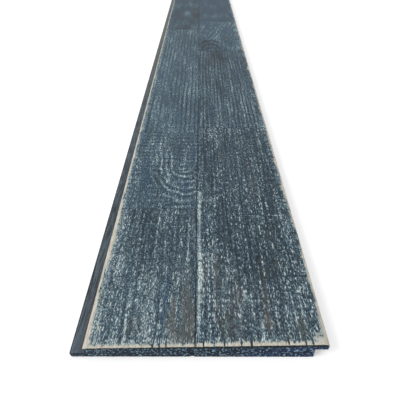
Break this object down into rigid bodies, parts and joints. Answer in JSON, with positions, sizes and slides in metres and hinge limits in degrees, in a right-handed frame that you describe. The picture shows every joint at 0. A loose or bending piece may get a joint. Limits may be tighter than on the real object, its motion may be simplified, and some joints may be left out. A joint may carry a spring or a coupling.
{
  "type": "shiplap board",
  "caption": "Long flat shiplap board of finger-jointed, edge-glued wood with a lower lip on one edge, an upper lip on the other, and a dark brushed face.",
  "frame": {"origin": "centre of the underside, the middle of the board's length and overall width", "axes": "+Y along the board, away from the end seen in the picture; +Z out of the finished face; +X towards the edge with the upper lip"},
  "size_m": [0.1842, 2.4384, 0.0143],
  "materials": {
    "stained_wood": "dark blue-grey stain over wood, matt, brushed and worn to bare wood along the edges"
  },
  "bodies": {
    "root": {"lower_lip_block_1": "stained_wood", "lower_lip_block_2": "stained_wood", "lower_lip_block_3": "stained_wood", "lower_lip_block_4": "stained_wood", "lower_lip_block_5": "stained_wood", "lower_lip_block_6": "stained_wood", "lower_lip_block_7": "stained_wood", "upper_lip_block_1": "stained_wood", "upper_lip_block_2": "stained_wood", "upper_lip_block_3": "stained_wood", "upper_lip_block_4": "stained_wood", "upper_lip_block_5": "stained_wood", "upper_lip_block_6": "stained_wood", "upper_lip_block_7": "stained_wood"}
  },
  "joints": []
}
